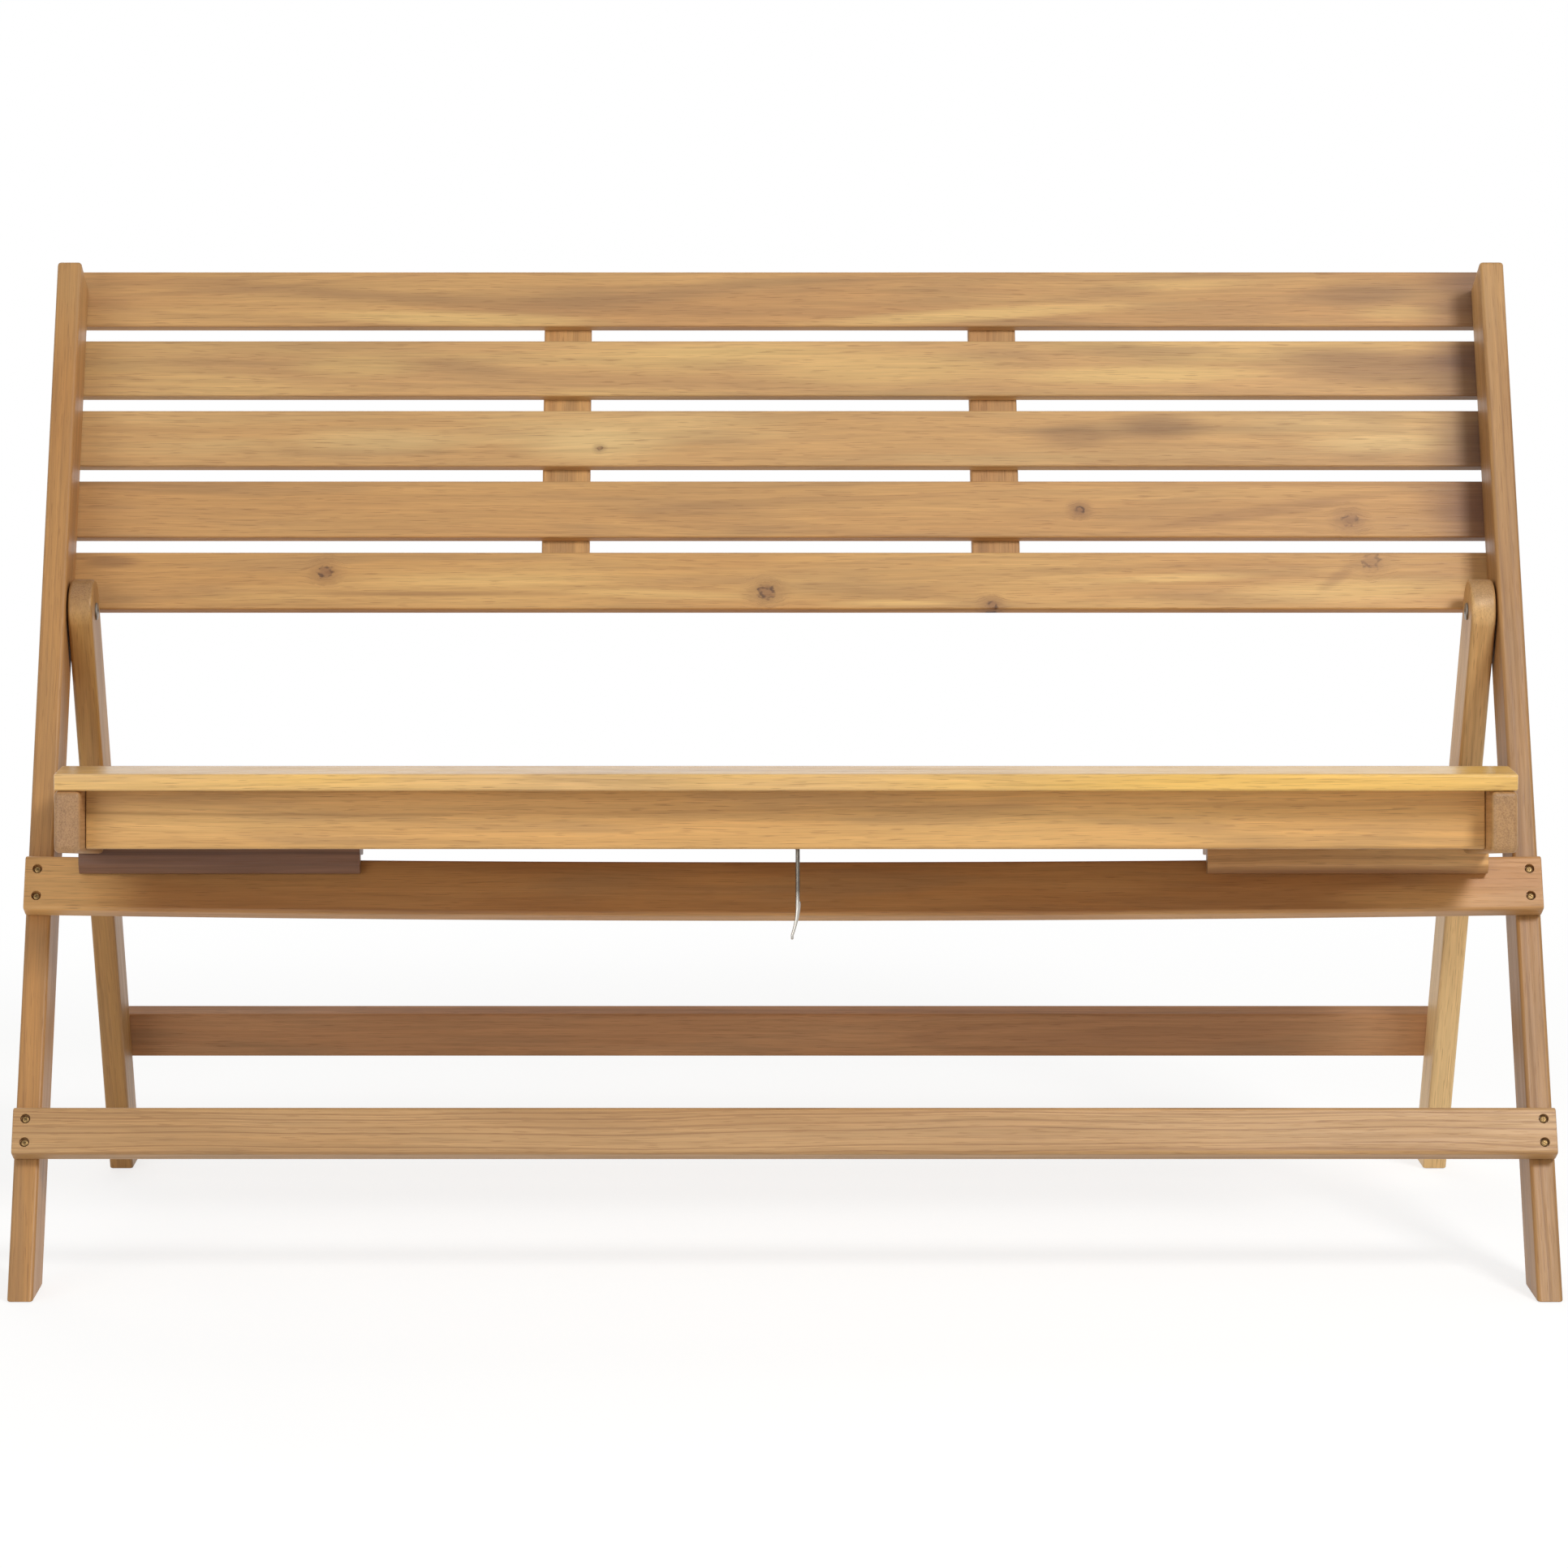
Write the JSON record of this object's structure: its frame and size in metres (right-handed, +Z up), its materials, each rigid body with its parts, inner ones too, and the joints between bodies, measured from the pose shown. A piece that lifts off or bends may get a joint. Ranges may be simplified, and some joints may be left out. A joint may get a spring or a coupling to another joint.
{
  "type": "folding bench",
  "caption": "Folding wooden garden bench for two: slatted back on leaning front posts, swinging rear legs and a slatted seat that folds up flat against the back.",
  "frame": {"origin": "middle of the bench's footprint on the ground", "axes": "+X along the bench's width, +Y towards the back, +Z up; a sitter faces -Y"},
  "size_m": [1.2, 0.5784, 0.7842],
  "materials": {
    "acacia": "oiled satin",
    "acacia_pale": "oiled satin",
    "acacia_dark": "oiled satin",
    "zinc_plated_steel": "zinc plated",
    "brassed_steel": "yellow passivated"
  },
  "bodies": {
    "post_frame": {"post_left": "acacia", "back_batten_left": "acacia", "post_right": "acacia", "back_batten_right": "acacia", "front_rail_lower": "acacia_pale", "front_rail_upper": "acacia", "back_slat_1": "acacia", "back_slat_2": "acacia_pale", "back_slat_3": "acacia", "back_slat_4": "acacia_pale", "back_slat_5": "acacia", "rail_screw_lower_left_1": "brassed_steel", "rail_screw_lower_left_2": "brassed_steel", "rail_screw_lower_right_1": "brassed_steel", "rail_screw_lower_right_2": "brassed_steel", "rail_screw_upper_left_1": "brassed_steel", "rail_screw_upper_left_2": "brassed_steel", "rail_screw_upper_right_1": "brassed_steel", "rail_screw_upper_right_2": "brassed_steel"},
    "rear_leg_frame": {"rear_leg_left": "acacia", "leg_pivot_sleeve_left": "zinc_plated_steel", "leg_pivot_screw_left": "zinc_plated_steel", "leg_pivot_washer_left": "zinc_plated_steel", "rear_leg_right": "acacia", "leg_pivot_sleeve_right": "zinc_plated_steel", "leg_pivot_screw_right": "zinc_plated_steel", "leg_pivot_washer_right": "zinc_plated_steel", "rear_rail": "acacia_pale", "rear_screw_left_1": "brassed_steel", "rear_screw_left_2": "brassed_steel", "rear_screw_right_1": "brassed_steel", "rear_screw_right_2": "brassed_steel"},
    "seat": {"seat_rail_left": "acacia", "seat_cleat_left": "acacia_dark", "seat_batten_left": "acacia", "seat_pivot_sleeve_left": "zinc_plated_steel", "seat_pivot_screw_left": "zinc_plated_steel", "seat_pivot_washer_left": "zinc_plated_steel", "seat_rail_right": "acacia", "seat_cleat_right": "acacia", "seat_batten_right": "acacia", "seat_pivot_sleeve_right": "zinc_plated_steel", "seat_pivot_screw_right": "zinc_plated_steel", "seat_pivot_washer_right": "zinc_plated_steel", "seat_apron": "acacia_pale", "seat_slat_1": "acacia", "seat_slat_2": "acacia_pale", "seat_slat_3": "acacia", "seat_slat_4": "acacia_pale", "seat_slat_5": "acacia", "seat_slat_6": "acacia_pale", "seat_slat_7": "acacia", "lock_eye": "zinc_plated_steel"},
    "lock_hook": {"lock_hook": "zinc_plated_steel"}
  },
  "joints": [
    {"name": "leg_fold", "type": "hinge", "parent": "post_frame", "child": "rear_leg_frame", "pos_m": [0, 0.02608, 0.50509], "axis": [1, 0, 0], "range_deg": [-53, 0]},
    {"name": "seat_fold", "type": "hinge", "parent": "rear_leg_frame", "child": "seat", "pos_m": [0, 0.10495, 0.33518], "axis": [1, 0, 0], "range_deg": [-57, 0]},
    {"name": "hook_swing", "type": "hinge", "parent": "seat", "child": "lock_hook", "pos_m": [0.0097, -0.23284, 0.35299], "axis": [0, 0.989, -0.1478], "range_deg": [-120, 120]}
  ],
  "couplings": [
    {"joint": "seat_fold", "follows": "leg_fold", "ratio": 1.0679}
  ]
}
